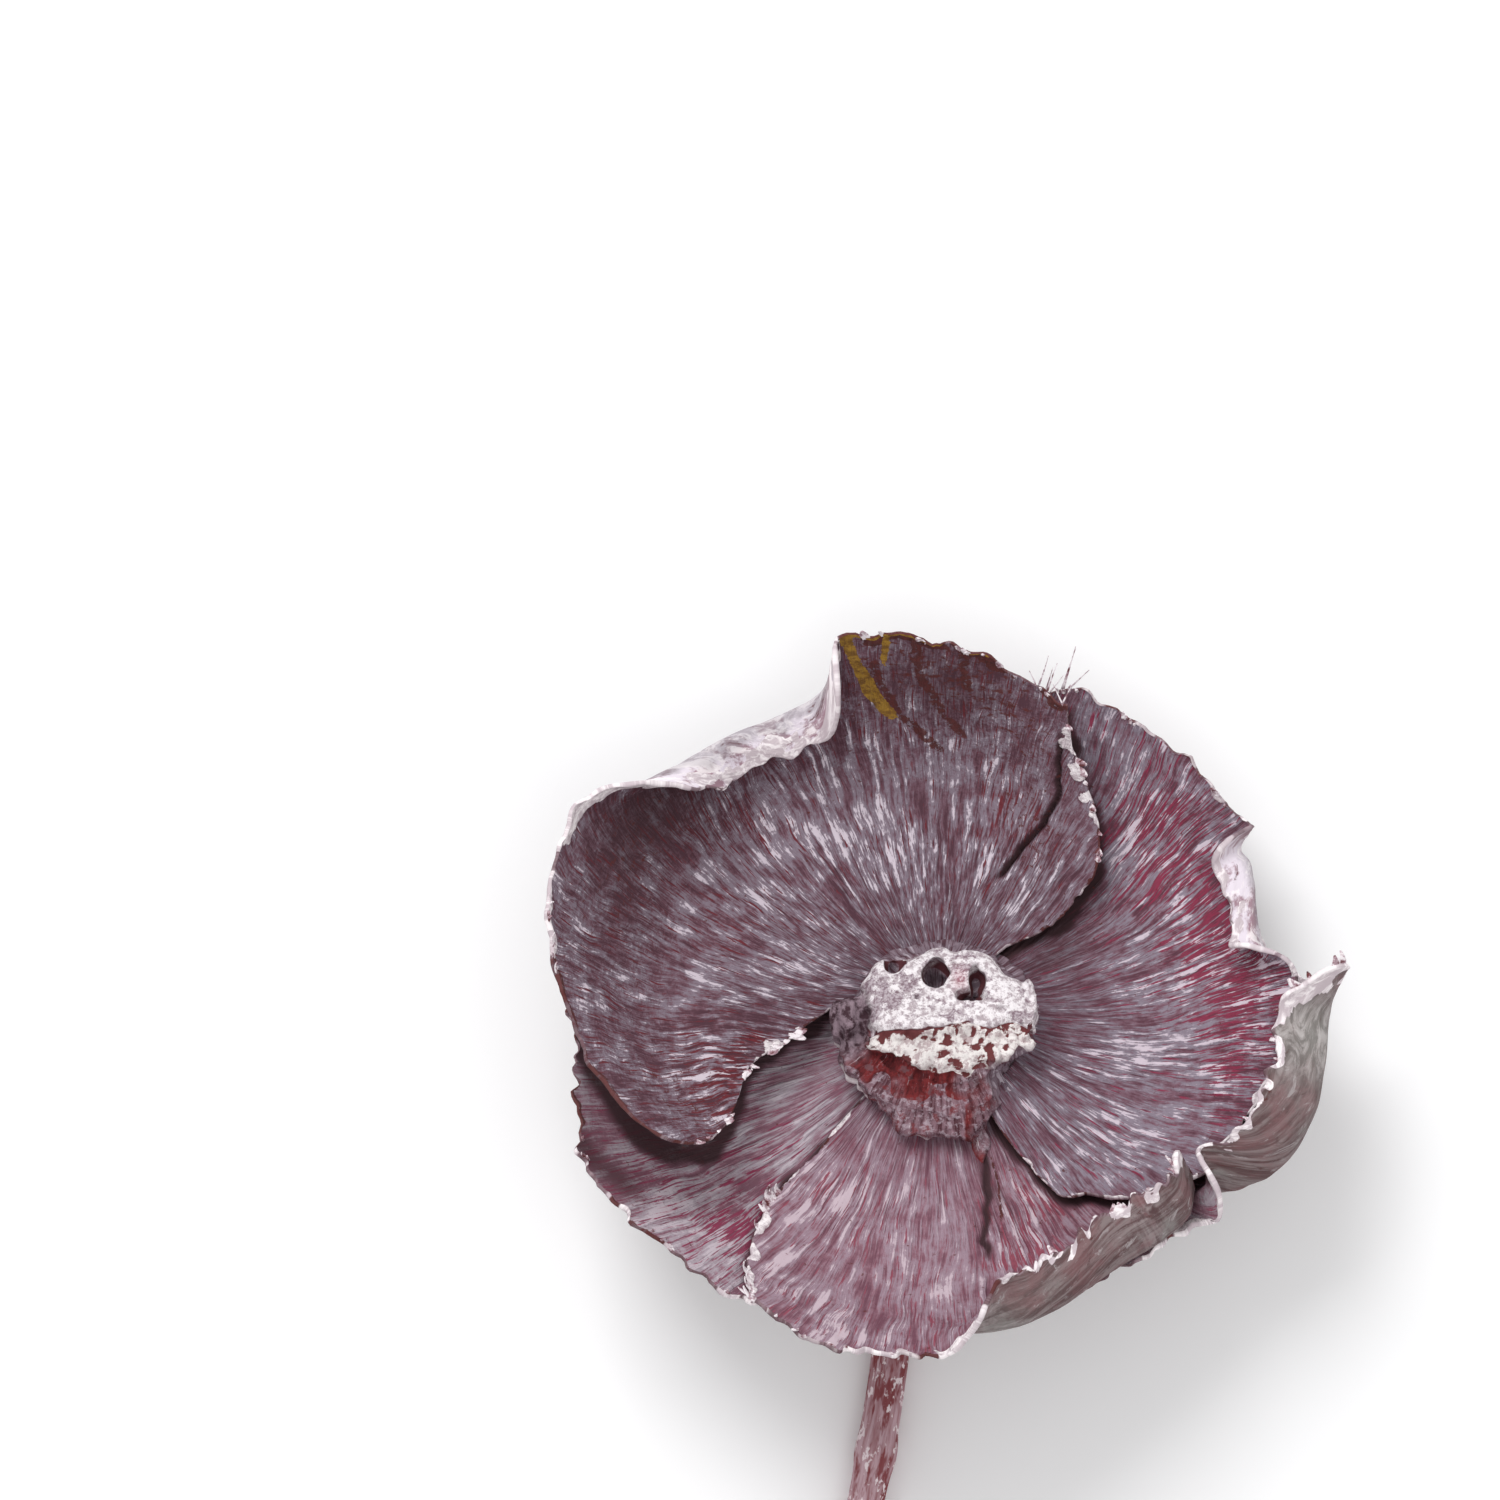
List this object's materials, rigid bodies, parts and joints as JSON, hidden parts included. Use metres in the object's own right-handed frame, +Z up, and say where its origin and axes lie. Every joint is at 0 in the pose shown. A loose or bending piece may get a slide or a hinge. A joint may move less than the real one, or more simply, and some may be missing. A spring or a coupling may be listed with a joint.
{
  "type": "dried palm cup",
  "caption": "Dried woody cup flower: shallow bowl of overlapping, torn-edged scales round a pitted hub, on a bare stem that lies flat.",
  "frame": {"origin": "on the surface that the piece lies on, below the middle of its bounding box", "axes": "+Z up from the surface, +Y along the stem from its cut end to the cup, +X to the right seen from the cut end"},
  "size_m": [0.0969, 0.2459, 0.0402],
  "materials": {
    "petal": "matte, plum-brown with a dry white wash",
    "sepal": "matte, plum-brown with a dry white wash",
    "hub": "matte, chalky white over dark red fibre",
    "stem": "matte, dusty rose wash over red-brown"
  },
  "bodies": {
    "root": {"petal_top": "petal", "petal_right": "petal", "petal_bottom": "petal", "sepal_left": "sepal", "sepal_right": "sepal", "sepal_top": "sepal", "receptacle": "hub", "stem": "stem"}
  },
  "joints": []
}
